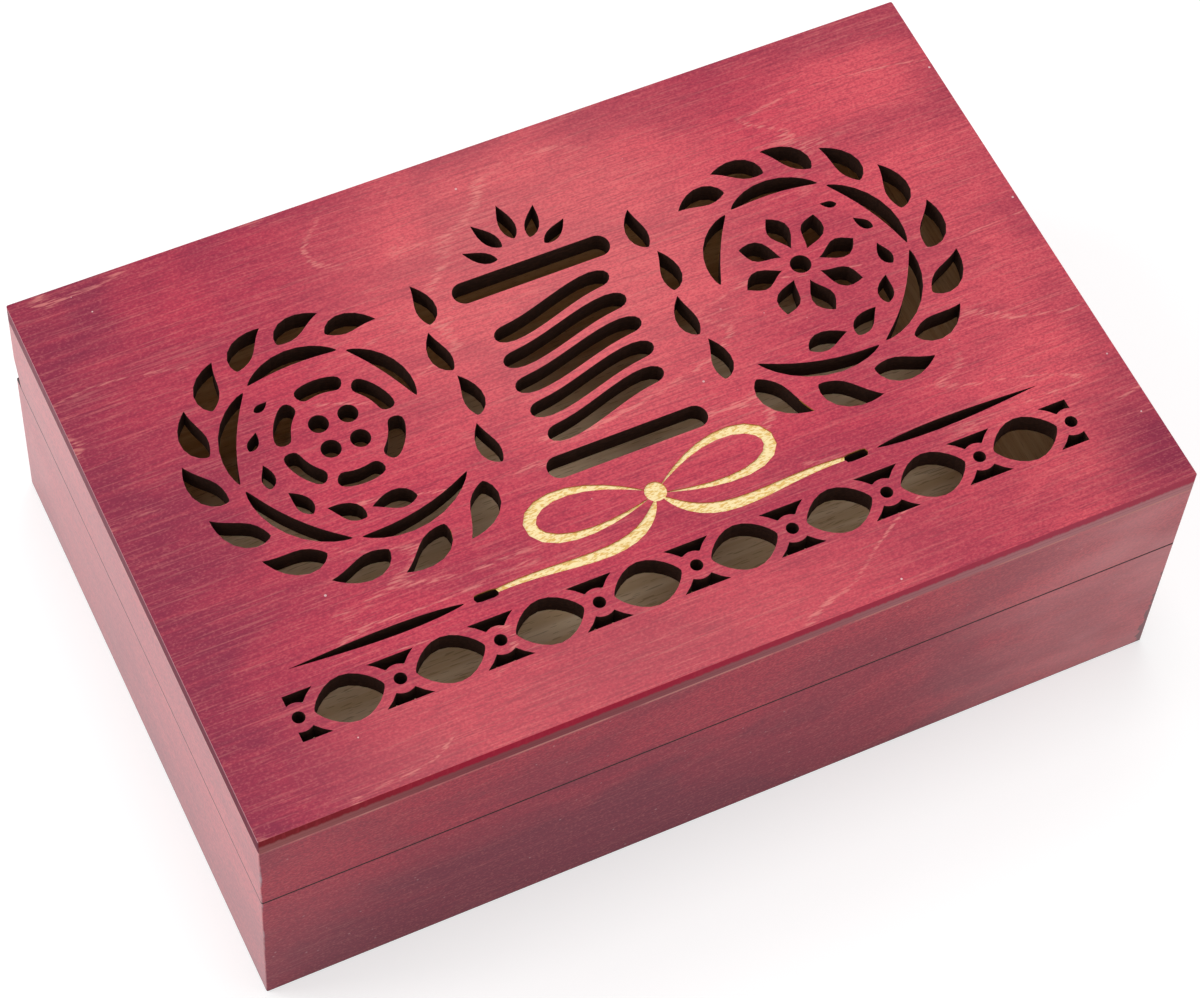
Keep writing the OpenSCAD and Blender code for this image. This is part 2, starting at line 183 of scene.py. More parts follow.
@dataclass(frozen=True)
class WoodCoordinates:
    """What a wood pattern starts from: the place in millimetres, and how far a face looks up."""

    tree: Tree
    place: Link
    x: Link
    y: Link
    z: Link
    up: Link

    @classmethod
    def on(cls, tree: Tree) -> "WoodCoordinates":
        """Adds the nodes that give the coordinates.

        Args:
            tree: The material's node tree.

        Returns:
            The coordinates.
        """
        source = add(tree, "TexCoord").outputs
        place = add(tree, "VectorMath", [source["Object"], 1 / MM], operation="SCALE")
        axes = add(tree, "SeparateXYZ", [place]).outputs
        facing = add(tree, "SeparateXYZ", [source["Normal"]]).outputs
        return cls(tree, place, axes[0], axes[1], axes[2], facing[2])

    def past(self, axis: Link, half: float) -> Node:
        """Says how far out the places lie past both planes at half a size, in millimetres.

        Args:
            axis: The coordinate along which it is measured.
            half: The distance of the planes from the middle.

        Returns:
            The node that gives the distance, negative within the planes.
        """
        size = add(self.tree, "Math", [axis], operation="ABSOLUTE")
        return add(self.tree, "Math", [size, half], operation="SUBTRACT")

    def within(self, axis: Link, half: float) -> Node:
        """Says how far in the places lie from the nearer plane at half a size, in millimetres.

        Args:
            axis: The coordinate along which it is measured.
            half: The distance of the planes from the middle.

        Returns:
            The node that gives the distance, negative past the planes.
        """
        size = add(self.tree, "Math", [axis], operation="ABSOLUTE")
        return add(self.tree, "Math", [half, size], operation="SUBTRACT")

    def spot(self, spot: Spot) -> Node:
        """Says how much of a round place shows.

        Args:
            spot: The place.

        Returns:
            The node that gives what the place's fade says.
        """
        away = add(self.tree, "VectorMath", [self.place, spot.middle], operation="DISTANCE")
        return add(self.tree, "MapRange", spot.fade.of(away), **SMOOTH)

    def blotches(self, per_mm: float) -> Node:
        """Makes noise that runs no way in particular, with so many blotches to a millimetre."""
        blotches = {"Vector": self.place, "Scale": per_mm, "Detail": 4.0}
        return add(self.tree, "TexNoise", blotches)

    def drawn_noise(
        self, place: Link, size: tuple[float, float, float], detail: float, wobble: float = 0.0
    ) -> Node:
        """Makes noise that is drawn out along the axes.

        Args:
            place: The place to read, in millimetres.
            size: How long a blotch is along each axis, in millimetres.
            detail: Octaves of the noise.
            wobble: How much the blotches wander.

        Returns:
            The node that gives the noise, from 0 to 1.
        """
        per_mm = tuple(1 / length for length in size)
        drawn = add(self.tree, "VectorMath", [place, per_mm], operation="MULTIPLY")
        noise = {"Vector": drawn, "Scale": 1.0, "Detail": detail, "Distortion": wobble}
        return add(self.tree, "TexNoise", noise)

    def streaks(self, grain: Grain, pattern: Streaks) -> Node:
        """Makes the noise of a pattern of streaks.

        Args:
            grain: Which way the grain runs.
            pattern: The pattern.

        Returns:
            The node that gives the noise, from 0 to 1.
        """
        turn = (0.0, 0.0, math.radians(grain.value))
        turned = add(self.tree, "Mapping", {"Vector": self.place, "Rotation": turn})
        size = (pattern.along, pattern.across, pattern.across)
        return self.drawn_noise(turned, size, pattern.detail, pattern.wobble)

    def shown(self, grain: Grain, pattern: Streaks, strength: float = 1.0) -> Node:
        """Makes the part of a pattern of streaks that its step shows.

        Args:
            grain: Which way the grain runs.
            pattern: The pattern.
            strength: How strongly it shows.

        Returns:
            The node that gives what the step says.
        """
        step = pattern.shows.times(strength)
        return add(self.tree, "MapRange", step.of(self.streaks(grain, pattern)), **SMOOTH)


def new_material(name: str) -> tuple[bpy.types.Material, Node]:
    """Makes an empty node material with a Principled shader.

    Args:
        name: The material's name.

    Returns:
        The material and its shader node.
    """
    material = bpy.data.materials.new(name)
    material.use_nodes = True
    return material, material.node_tree.nodes["Principled BSDF"]


@dataclass(frozen=True)
class RawBirch:
    """Raw birch, planed and sanded: pale, with broad bands and short, thin, dark pores."""

    name: str
    raw: str = "#e6cdac"
    raw_dark: str = "#d0b088"
    raw_pore: str = "#8f6b48"
    raw_bands: Streaks = Streaks(80.0, 2.4, Step(0.35, 0.7), detail=4.0, wobble=0.3)
    raw_pores: Streaks = Streaks(3.2, 0.28, Step(0.34, 0.26, 0.0, 0.5), detail=0.0)
    raised_grain: Streaks = Streaks(6.0, 0.4)
    relief_depth: float = 0.03
    relief_strength: float = 0.35

    def raw_wood(self, at: WoodCoordinates, grain: Grain) -> Node:
        """Makes the colour of undyed wood.

        Args:
            at: The coordinates of the material.
            grain: Which way the grain runs.

        Returns:
            The node that gives the colour.
        """
        bands = at.shown(grain, self.raw_bands)
        colour = add(at.tree, "Mix", [bands, self.raw_dark, self.raw], **OVER)
        pores = at.shown(grain, self.raw_pores)
        return add(at.tree, "Mix", [pores, colour, self.raw_pore], **OVER)

    def relief(self, at: WoodCoordinates, grain: Grain) -> Node:
        """Makes the normal of a surface with open pores and raised, rubbed grain.

        Args:
            at: The coordinates of the material.
            grain: Which way the grain runs.

        Returns:
            The node that gives the normal.
        """
        bump = {
            "Height": at.streaks(grain, self.raised_grain),
            "Strength": self.relief_strength,
            "Distance": self.relief_depth * MM,
        }
        return add(at.tree, "Bump", bump)


@dataclass(frozen=True)
class DyedBirch(RawBirch):
    """Birch dyed crimson with a water dye, rubbed back and sealed thin.

    The dye sinks in unevenly, so broad clouds are lighter or darker, and the sanded surface is
    finely mottled. Thin dark pores and light rubbed fibres run along the board, and here and
    there a growth ring shows as a ragged pale line. Real pores and fibres are 0.1 mm wide, and
    are drawn 0.4 mm wide so that they show.
    """

    # The dark tone is laid on by clouds of dye and by painted shade, the bright tone by bands and
    # by painted light, and the fibre tone by fibres, rings and the panel's painted sheen.
    base: str = "#bd334b"
    darker: str = "#861f3d"
    bright: str = "#da545f"
    fibre_and_sheen: str = "#ea958a"
    pore: str = "#701534"
    dust: str = "#ecd4d2"

    cloud_strength: float = 0.38
    band_strength: float = 0.16
    mottle_strength: float = 0.34
    pore_strength: float = 0.38
    fibre_strength: float = 0.18
    ring_strength: float = 0.45

    clouds: Streaks = Streaks(42.0, 22.0, Step(0.36, 0.62, 1.0, 0.0), detail=4.0, wobble=0.8)
    bands: Streaks = Streaks(38.0, 1.6, Step(0.5, 0.7))
    mottle_dark: Streaks = Streaks(0.7, 0.45, Step(0.54, 0.34), detail=2.0)
    mottle_light: Streaks = Streaks(0.7, 0.45, Step(0.5, 0.74, 0.0, 0.4), detail=2.0)
    pores: Streaks = Streaks(8.0, 0.38, Step(0.52, 0.3), detail=2.0)
    fibres: Streaks = Streaks(13.0, 0.4, Step(0.52, 0.74), detail=2.0)

    # A ring runs where broad noise has one level, and its step is the distance from that level.
    rings: Streaks = Streaks(74.0, 30.0, Step(0.002, 0.014, 1.0, 0.0), detail=1.0, wobble=0.5)
    ring_level: float = 0.515
    ring_fringe: Streaks = Streaks(5.0, 0.6, detail=1.0)
    fringe_reach: float = 0.03
    ring_gaps: Streaks = Streaks(26.0, 14.0, Step(0.42, 0.6))
    ring_tears: Streaks = Streaks(3.5, 0.45, Step(0.4, 0.62), detail=1.0)

    # One speck of dust in each cell, in millimetres, with an edge in parts of a cell.
    speck_cell: float = 6.0
    speck_radius: Step = Step(0.0, 1.0, 0.08, 0.3)
    speck_edge: Step = Step(0.01, -0.01)
    speck_strength: Step = Step(0.35, 1.0, 0.0, 0.7)

    def dyed(self, at: WoodCoordinates, grain: Grain, glow: Link, shade: Link) -> Node:
        """Makes the colour of the dyed surface.

        Args:
            at: The coordinates of the material.
            grain: Which way the grain runs.
            glow: How far it leans to the bright tone, from 0 to 1: painted light where it varies.
            shade: Painted shade on the boards, from 0 to 1, laid on with the clouds of darker tone.

        Returns:
            The node that gives the colour.
        """
        tree = at.tree
        colour = add(tree, "Mix", [glow, self.base, self.bright], **OVER)
        clouds = at.shown(grain, self.clouds, self.cloud_strength)
        clouds = add(tree, "Math", [clouds, shade], operation="ADD")
        colour = add(tree, "Mix", [clouds, colour, self.darker], **OVER)
        for pattern, strength, tone in (
            (self.bands, self.band_strength, self.bright),
            (self.mottle_dark, self.mottle_strength, self.pore),
            (self.mottle_light, self.mottle_strength, self.fibre_and_sheen),
            (self.pores, self.pore_strength, self.pore),
            (self.fibres, self.fibre_strength, self.fibre_and_sheen),
        ):
            colour = add(tree, "Mix", [at.shown(grain, pattern, strength), colour, tone], **OVER)
        colour = add(tree, "Mix", [self.ring_lines(at, grain), colour, self.fibre_and_sheen], **OVER)
        return add(tree, "Mix", [self.specks(at), colour, self.dust], **OVER)

    def ring_lines(self, at: WoodCoordinates, grain: Grain) -> Node:
        """Says where a growth ring shows.

        Args:
            at: The coordinates of the material.
            grain: Which way the grain runs.

        Returns:
            The node that gives how strongly a ring shows.
        """
        tree = at.tree
        fringe = at.streaks(grain, self.ring_fringe)
        broad = at.streaks(grain, self.rings)
        level = add(tree, "Math", [fringe, self.fringe_reach, broad], operation="MULTIPLY_ADD")
        off = add(tree, "Math", [level, self.ring_level], operation="SUBTRACT")
        off = add(tree, "Math", [off], operation="ABSOLUTE")
        step = self.rings.shows.times(self.ring_strength)
        ring = add(tree, "MapRange", step.of(off), **SMOOTH)
        gaps, tears = at.shown(grain, self.ring_gaps), at.shown(grain, self.ring_tears)
        whole = add(tree, "Math", [gaps, tears], operation="MULTIPLY")
        return add(tree, "Math", [ring, whole], operation="MULTIPLY")

    def specks(self, at: WoodCoordinates) -> Node:
        """Says where specks of pale dust lie, each 0.2 mm to 0.6 mm across.

        Args:
            at: The coordinates of the material.

        Returns:
            The node that gives how strongly a speck shows.
        """
        tree = at.tree
        voronoi = {"Vector": at.place, "Scale": 1 / self.speck_cell}
        cells = add(tree, "TexVoronoi", voronoi, feature="F1").outputs
        chosen = add(tree, "SeparateColor", [cells["Color"]]).outputs
        radius = add(tree, "MapRange", self.speck_radius.of(chosen[0]), **SMOOTH)
        radius = add(tree, "Math", [radius, self.speck_cell], operation="DIVIDE")
        outside = add(tree, "Math", [cells["Distance"], radius], operation="SUBTRACT")
        speck = add(tree, "MapRange", self.speck_edge.of(outside), **SMOOTH)
        strength = add(tree, "MapRange", self.speck_strength.of(chosen[1]), **SMOOTH)
        return add(tree, "Math", [speck, strength], operation="MULTIPLY")


@dataclass(frozen=True)
class DyedBoard(DyedBirch, ABC):
    """A board of the base or of the lid's frame: dyed on the outside, raw on the rims and inside.

    Its upright corners are rubbed pale, shade is painted in the joint and at its foot, and light,
    shade and a pale sheen are painted over its faces.
    """

    base: str = "#bd2a45"
    darker: str = "#821537"
    bright: str = "#d84c59"
    # A painted sheen.
    painted_sheen: str = "#f0a6a9"
    worn: str = "#c9adb6"
    grime: str = "#7d6468"
    # Painted shade in the joint and at the foot, and a painted highlight under the panel.
    joint_shade: str = "#240008"
    foot_shade: str = "#3a121e"
    edge_highlight: str = "#dc8f86"

    # Wood under rubbed dye is duller than varnished wood, so its IOR is under the usual 1.5.
    ior: float = 1.35
    roughness: Step = Step(0.0, 1.0, 0.62, 0.5)
    wax: float = 0.0
    wax_roughness: float = 0.32
    grain: Grain = Grain.ALONG_X

    cloud_strength: float = 0.5
    band_strength: float = 0.08
    mottle_strength: float = 0.46
    pore_strength: float = 0.16
    fibre_strength: float = 0.12
    ring_strength: float = 0.0
    speck_cell: float = 3.5

    # The dye soaks in unevenly at the rims, up to so many millimetres, and covers the lid's bevel.
    soaking: Streaks = Streaks(5.0, 1.2)
    soak_reach: float = 1.6
    soak_edge: Step = Step(-0.5, 0.1)
    lid_only: Step = Step(-0.3, -0.1, -BOX.half_depth, 0.0)
    # Patches in which the painted sheen shows.
    sheen_patches: Streaks = Streaks(30.0, 14.0, Step(0.3, 0.7, 0.65, 1.2))

    # Wear at the corners, and nicks that reach further in towards the foot.
    wear_blotches: float = 0.12
    wear_reach: float = 1.2
    wear: Step = Step(0.26, 0.5, 0.0, 0.7)
    nick_blotches: float = 0.45
    nick_reach: float = 3.4
    nicks_by_height: Step = Step(46.0, 0.0, 0.2, 2.2)
    nicks: Step = Step(1.9, 2.3, 0.0, 0.75)
    front_skin: Step = Step(-74.0, -74.5)

    # Painted shade in the joint and at the foot, and a painted highlight under the panel: lines
    # along the board, at distances in millimetres from the joint, the foot and the panel.
    joint_line: Step = Step(0.38, 0.24)
    foot_line: Step = Step(0.5, 0.2)
    highlight_below_panel: Step = Step(-1.1, -0.3)
    highlight_patches: Streaks = Streaks(16.0, 9.0, Step(0.4, 0.6, 0.2, 0.8))

    @abstractmethod
    def fields(self, at: WoodCoordinates) -> tuple[Link, Link, Link]:
        """Says how far the board leans to the bright tone, and where shade and sheen are painted.

        Args:
            at: The coordinates of the material.

        Returns:
            The lean to the bright tone, the painted shade and the painted sheen, each from 0 to 1.
        """

    def skin(self, at: WoodCoordinates, past_end: Node, past_side: Node) -> Node:
        """Says where the dye is: on the outside and on the lid's rear bevel.

        Args:
            at: The coordinates of the material.
            past_end: How far a point is past the ends of the box, in millimetres.
            past_side: How far it is past the front and back.

        Returns:
            The node that gives 1 on the dyed skin.
        """
        tree, lean = at.tree, -BOX.bevel_in / BOX.bevel_up
        rise = add(tree, "Math", [at.z, BOX.parting], operation="SUBTRACT")
        slope = add(tree, "Math", [rise, lean, at.y], operation="MULTIPLY_ADD")
        bevel = add(tree, "Math", [slope, BOX.half_depth - BOX.bevel_in], operation="SUBTRACT")
        # Under the joint there is no bevel, so there it is put far inside.
        below = add(tree, "MapRange", self.lid_only.of(rise), **SMOOTH)
        bevel = add(tree, "Math", [bevel, below], operation="ADD")
        outside = add(tree, "Math", [past_end, past_side], operation="MAXIMUM")
        outside = add(tree, "Math", [outside, bevel], operation="MAXIMUM")
        soaking = at.streaks(self.grain, self.soaking)
        soaked = add(tree, "Math", [soaking, self.soak_reach, outside], operation="MULTIPLY_ADD")
        return add(tree, "MapRange", self.soak_edge.of(soaked), **SMOOTH)

    def rubbed_corners(
        self, at: WoodCoordinates, colour: Node, past_end: Node, past_side: Node
    ) -> Node:
        """Lays the wear of handling over the colour, pale at the upright corners.

        Args:
            at: The coordinates of the material.
            colour: The colour so far.
            past_end: How far a point is past the ends of the box, in millimetres.
            past_side: How far it is past the front and back.

        Returns:
            The node that gives the colour.
        """
        tree, uneven = at.tree, at.blotches(self.wear_blotches)
        corner = add(tree, "Math", [past_end, past_side], operation="ADD")
        rubbed = add(tree, "Math", [uneven, self.wear_reach, corner], operation="MULTIPLY_ADD")
        wear = add(tree, "MapRange", self.wear.of(rubbed), **SMOOTH)
        return add(tree, "Mix", [wear, colour, self.worn], **OVER)

    def knocked_corner(self, at: WoodCoordinates, colour: Node) -> Node:
        """Nicks the base's front right corner and greys it with grime towards the foot.

        Args:
            at: The coordinates of the material.
            colour: The colour so far.

        Returns:
            The node that gives the colour.
        """
        tree, uneven = at.tree, at.blotches(self.nick_blotches)
        reach = add(tree, "MapRange", self.nicks_by_height.of(at.z), **SMOOTH)
        reach = add(tree, "Math", [uneven, self.nick_reach, reach], operation="MULTIPLY_ADD")
        past_right = add(tree, "Math", [at.x, BOX.half_length], operation="SUBTRACT")
        knocked = add(tree, "Math", [reach, past_right], operation="ADD")
        knocked = add(tree, "MapRange", self.nicks.of(knocked), **SMOOTH)
        in_front = add(tree, "MapRange", self.front_skin.of(at.y), **SMOOTH)
        mask = add(tree, "Math", [knocked, in_front], operation="MULTIPLY")
        return add(tree, "Mix", [mask, colour, self.grime], **OVER)

    def shade_and_highlight_lines(self, at: WoodCoordinates, colour: Node) -> Node:
        """Paints shade in the joint and along the foot, and a highlight along the frame's top edge.

        Args:
            at: The coordinates of the material.
            colour: The colour so far.

        Returns:
            The node that gives the colour.
        """
        tree = at.tree
        # Painted shade in the joint.
        from_joint = add(tree, "Math", [at.z, BOX.parting], operation="SUBTRACT")
        from_joint = add(tree, "Math", [from_joint], operation="ABSOLUTE")
        joint = add(tree, "MapRange", self.joint_line.of(from_joint), **SMOOTH)
        colour = add(tree, "Mix", [joint, colour, self.joint_shade], **OVER)
        # Painted shade along the foot.
        foot = add(tree, "MapRange", self.foot_line.of(at.z), **SMOOTH)
        colour = add(tree, "Mix", [foot, colour, self.foot_shade], **OVER)
        # A painted highlight along the frame's top edge, under the panel.
        from_panel = add(tree, "Math", [at.z, BOX.panel_under], operation="SUBTRACT")
        line = add(tree, "MapRange", self.highlight_below_panel.of(from_panel), **SMOOTH)
        patches = at.shown(self.grain, self.highlight_patches)
        line = add(tree, "Math", [line, patches], operation="MULTIPLY")
        return add(tree, "Mix", [line, colour, self.edge_highlight], **OVER)

    def make(self) -> bpy.types.Material:
        """Builds the material.

        Returns:
            The material.
        """
        material, shader = new_material(self.name)
        at = WoodCoordinates.on(material.node_tree)
        tree = at.tree
        past_end = at.past(at.x, BOX.half_length)
        past_side = at.past(at.y, BOX.half_depth)
        skin = self.skin(at, past_end, past_side)

        # Painted light, painted shade and a painted sheen, the sheen in patches.
        glow, shade, painted_sheen = self.fields(at)
        colour = self.dyed(at, self.grain, glow, shade)
        patches = at.shown(self.grain, self.sheen_patches)
        painted_sheen = add(tree, "Math", [painted_sheen, patches], operation="MULTIPLY")
        colour = add(tree, "Mix", [painted_sheen, colour, self.painted_sheen], **OVER)
        colour = self.rubbed_corners(at, colour, past_end, past_side)
        colour = self.knocked_corner(at, colour)
        colour = self.shade_and_highlight_lines(at, colour)
        finish = {
            "Base Color": add(tree, "Mix", [skin, self.raw_wood(at, self.grain), colour], **OVER),
            "Roughness": add(tree, "MapRange", self.roughness.of(skin), **SMOOTH),
            "Normal": self.relief(at, self.grain),
            "IOR": self.ior,
            "Coat Weight": self.wax,
            "Coat Roughness": self.wax_roughness,
        }
        feed(tree, shader, finish)
        return material


@dataclass(frozen=True)
class LongBoard(DyedBoard):
    """A front or back board, rubbed matt: painted shade low and left, painted light and sheen
    right.
    """

    # Painted light to the right, painted shade low down and to the left, and a painted sheen to the
    # right and faintly at the left end, on the front board more than on the back.
    painted_light_right: Step = Step(-30.0, 110.0, 0.0, 0.6)
    shade_low: Step = Step(56.0, 8.0)
    shade_spot: Spot = Spot((-48.0, -BOX.half_depth, 12.0), Step(25.0, 150.0, 1.0, 0.15))
    sheen_right: Step = Step(36.0, 112.0, 0.0, 0.5)
    sheen_left: Step = Step(-70.0, -116.0, 0.0, 0.05)
    sheen_front: Step = Step(0.0, -70.0, 0.15, 1.0)

    def fields(self, at: WoodCoordinates) -> tuple[Link, Link, Link]:
        """Says where light, shade and a pale sheen are painted on the board.

        Args:
            at: The coordinates of the material.

        Returns:
            The painted light, the painted shade and the painted sheen, each from 0 to 1.
        """
        tree = at.tree
        light = add(tree, "MapRange", self.painted_light_right.of(at.x), **SMOOTH)
        low = add(tree, "MapRange", self.shade_low.of(at.z), **SMOOTH)
        darker = add(tree, "Math", [low, at.spot(self.shade_spot)], operation="MULTIPLY")
        right = add(tree, "MapRange", self.sheen_right.of(at.x), **SMOOTH)
        left = add(tree, "MapRange", self.sheen_left.of(at.x), **SMOOTH)
        painted_sheen = add(tree, "Math", [right, left], operation="MAXIMUM")
        front = add(tree, "MapRange", self.sheen_front.of(at.y), **SMOOTH)
        return light, darker, add(tree, "Math", [painted_sheen, front], operation="MULTIPLY")


@dataclass(frozen=True)
class ShortBoard(DyedBoard):
    """A left or right board, whose thin coat of wax keeps it glossier than the long boards."""

    grain: Grain = Grain.ALONG_Y
    ior: float = 1.5
    wax: float = 0.6
    cloud_strength: float = 0.28
    light_all_over: float = 0.6
    # Painted shade lower down, and a painted sheen towards the back.
    shade_low: Step = Step(50.0, 0.0, 0.0, 0.45)
    sheen_back: Step = Step(-60.0, 78.0, 0.0, 0.14)

    def fields(self, at: WoodCoordinates) -> tuple[Link, Link, Link]:
        """Says how far the board leans to the bright tone, and where shade and sheen are painted.

        Args:
            at: The coordinates of the material.

        Returns:
            The even lean to the bright tone, the painted shade and the painted sheen, each from 0
            to 1.
        """
        darker = add(at.tree, "MapRange", self.shade_low.of(at.z), **SMOOTH)
        painted_sheen = add(at.tree, "MapRange", self.sheen_back.of(at.y), **SMOOTH)
        return self.light_all_over, darker, painted_sheen


@dataclass(frozen=True)
class PlywoodEdge:
    """The panel's outer edge: plies, paler to the right, under dye.

    On the long edges the dye has run down over the upper half in ragged runs, deepest at the left.
    The end edges are browner, with a painted highlight along the top.
    """

    places: tuple[float, float, float] = (-108.0, -60.0, 108.0)
    ply: tuple[str, str, str] = ("#aa5f60", "#964950", "#cb868b")
    dye: tuple[str, str, str] = ("#860014", "#b50a36", "#bc3e57")
    ply_thickness: float = 1.375
    glue: str = "#5a3038"
    glue_line: Step = Step(0.5, 0.68, 0.0, 0.35)

    run_width: float = 1.0
    run_height: float = 7.0
    run_detail: float = 3.0
    run_reach: float = 1.4
    run_tone: str = "#c8384a"
    run_shows: Step = Step(0.5, 0.7, 0.0, 0.24)
    wet: Step = Step(3.0, 4.0)

    end_front: str = "#6e2438"
    end_back: str = "#94606a"
    end_fade: Step = Step(-70.0, 75.0)
    end_run: str = "#8c2440"
    end_run_shows: Step = Step(0.45, 0.7, 0.0, 0.5)
    # A painted highlight along the top of the end edges.
    end_highlight: str = "#d79aa2"
    end_highlight_height: Step = Step(4.6, 5.1)
    at_end: Step = Step(0.0, 0.1)

    def along(self, at: WoodCoordinates, colours: tuple[str, str, str]) -> Node:
        """Runs through three colours along the panel's long edges.

        Args:
            at: The coordinates of the material.
            colours: The colours at the left end, a little further, and at the right end.

        Returns:
            The node that gives the colour.
        """
        left, inner, right = self.places
        start, middle, end = colours
        first = add(at.tree, "MapRange", Step(left, inner).of(at.x), **SMOOTH)
        second = add(at.tree, "MapRange", Step(inner, right).of(at.x), **SMOOTH)
        colour = add(at.tree, "Mix", [first, start, middle], **OVER)
        return add(at.tree, "Mix", [second, colour, end], **OVER)

    def long_edge(self, at: WoodCoordinates, height: Node, runs: Node) -> Node:
        """Makes the colour of the front and back edges.

        Args:
            at: The coordinates of the material.
            height: The height over the panel's underside, in millimetres.
            runs: The noise of the runs of dye.

        Returns:
            The node that gives the colour.
        """
        tree = at.tree
        ply = add(tree, "Math", [height, self.ply_thickness], operation="MODULO")
        off_middle = add(tree, "Math", [ply, self.ply_thickness / 2], operation="SUBTRACT")
        off_middle = add(tree, "Math", [off_middle], operation="ABSOLUTE")
        glue_line = add(tree, "MapRange", self.glue_line.of(off_middle), **SMOOTH)
        plies = add(tree, "Mix", [glue_line, self.along(at, self.ply), self.glue], **OVER)
        run = add(tree, "MapRange", self.run_shows.of(runs), **SMOOTH)
        dye = add(tree, "Mix", [run, self.along(at, self.dye), self.run_tone], **OVER)
        wet = add(tree, "Math", [runs, self.run_reach, height], operation="MULTIPLY_ADD")
        wet = add(tree, "MapRange", self.wet.of(wet), **SMOOTH)
        return add(tree, "Mix", [wet, plies, dye], **OVER)

    def end_edge(self, at: WoodCoordinates, height: Node, runs: Node) -> Node:
        """Makes the colour of the left and right edges.

        Args:
            at: The coordinates of the material.
            height: The height over the panel's underside, in millimetres.
            runs: The noise of the runs of dye.

        Returns:
            The node that gives the colour.
        """
        tree = at.tree
        fade = add(tree, "MapRange", self.end_fade.of(at.y), **SMOOTH)
        colour = add(tree, "Mix", [fade, self.end_front, self.end_back], **OVER)
        run = add(tree, "MapRange", self.end_run_shows.of(runs), **SMOOTH)
        colour = add(tree, "Mix", [run, colour, self.end_run], **OVER)
        # A painted highlight along the top.
        line = add(tree, "MapRange", self.end_highlight_height.of(height), **SMOOTH)
        return add(tree, "Mix", [line, colour, self.end_highlight], **OVER)

    def colour(self, at: WoodCoordinates, to_end: Node, to_side: Node) -> Node:
        """Makes the colour of the whole edge.

        Args:
            at: The coordinates of the material.
            to_end: How far a point is from the nearer end of the box, in millimetres.
            to_side: How far it is from the nearer long side.

        Returns:
            The node that gives the colour.
        """
        tree = at.tree
        height = add(tree, "Math", [at.z, BOX.panel_under], operation="SUBTRACT")
        size = (self.run_width, self.run_width, self.run_height)
        runs = at.drawn_noise(at.place, size, self.run_detail)
        nearer_end = add(tree, "Math", [to_side, to_end], operation="SUBTRACT")
        at_end = add(tree, "MapRange", self.at_end.of(nearer_end), **SMOOTH)
        long_edge, end_edge = self.long_edge(at, height, runs), self.end_edge(at, height, runs)
        return add(tree, "Mix", [at_end, long_edge, end_edge], **OVER)


@dataclass(frozen=True)
class CharredWall:
    """Walls cut by a laser: charred almost black, reddish where dye ran in at the top."""

    char: str = "#2a1610"
    scorch: str = "#3d241a"
    stain: str = "#5e1c2c"
    scorching: Streaks = Streaks(1.5, 0.5, Step(0.4, 0.7))
    stain_depth: Step = Step(0.05, 0.5, 0.5, 0.0)

    def colour(self, at: WoodCoordinates, grain: Grain, below_top: Node) -> Node:
        """Makes the colour of the cut walls.

        Args:
            at: The coordinates of the material.
            grain: Which way the grain runs.
            below_top: The depth under the panel's face, in millimetres.

        Returns:
            The node that gives the colour.
        """
        scorching = at.shown(grain, self.scorching)
        colour = add(at.tree, "Mix", [scorching, self.char, self.scorch], **OVER)
        stained = add(at.tree, "MapRange", self.stain_depth.of(below_top), **SMOOTH)
        return add(at.tree, "Mix", [stained, colour, self.stain], **OVER)


@dataclass(frozen=True)
class Engraving:
    """The engraved bow, which goes through the dye: pale golden wood with a browned rim."""

    pale: str = "#f8e4ae"
    golden: str = "#e0b768"
    browned: str = "#b87c34"
    figure: Streaks = Streaks(1.1, 0.4, Step(0.36, 0.56))
    middle: tuple[float, float, float] = (0.0, -31.2, 0.0)
    half: tuple[float, float] = (49.0, 10.6)
    margin: float = 0.2
    wall_depth: Step = Step(0.5, 0.4)
    floor_depth: Step = Step(0.12, 0.2)

    def floor(self, at: WoodCoordinates, grain: Grain) -> Node:
        """Makes the colour of the engraving's grainy floor.

        Args:
            at: The coordinates of the material.
            grain: Which way the grain runs.

        Returns:
            The node that gives the colour.
        """
        figure = at.shown(grain, self.figure)
        return add(at.tree, "Mix", [figure, self.golden, self.pale], **OVER)

    def walls(self, at: WoodCoordinates, below_top: Node) -> Node:
        """Says where the engraving's low walls are.

        Args:
            at: The coordinates of the material.
            below_top: The depth under the panel's face, in millimetres.

        Returns:
            The node that gives 1 within the engraving's field, near the face.
        """
        tree = at.tree
        aside = add(tree, "VectorMath", [at.place, self.middle], operation="SUBTRACT")
        aside = add(tree, "VectorMath", [aside], operation="ABSOLUTE")
        aside = add(tree, "SeparateXYZ", [aside]).outputs
        edges = [Step(half + self.margin, half) for half in self.half]
        within_x, within_y = [
            add(tree, "MapRange", edge.of(aside[axis]), **SMOOTH) for axis, edge in enumerate(edges)
        ]
        within = add(tree, "Math", [within_x, within_y], operation="MULTIPLY")
        near_face = add(tree, "MapRange", self.wall_depth.of(below_top), **SMOOTH)
        return add(tree, "Math", [within, near_face], operation="MULTIPLY")


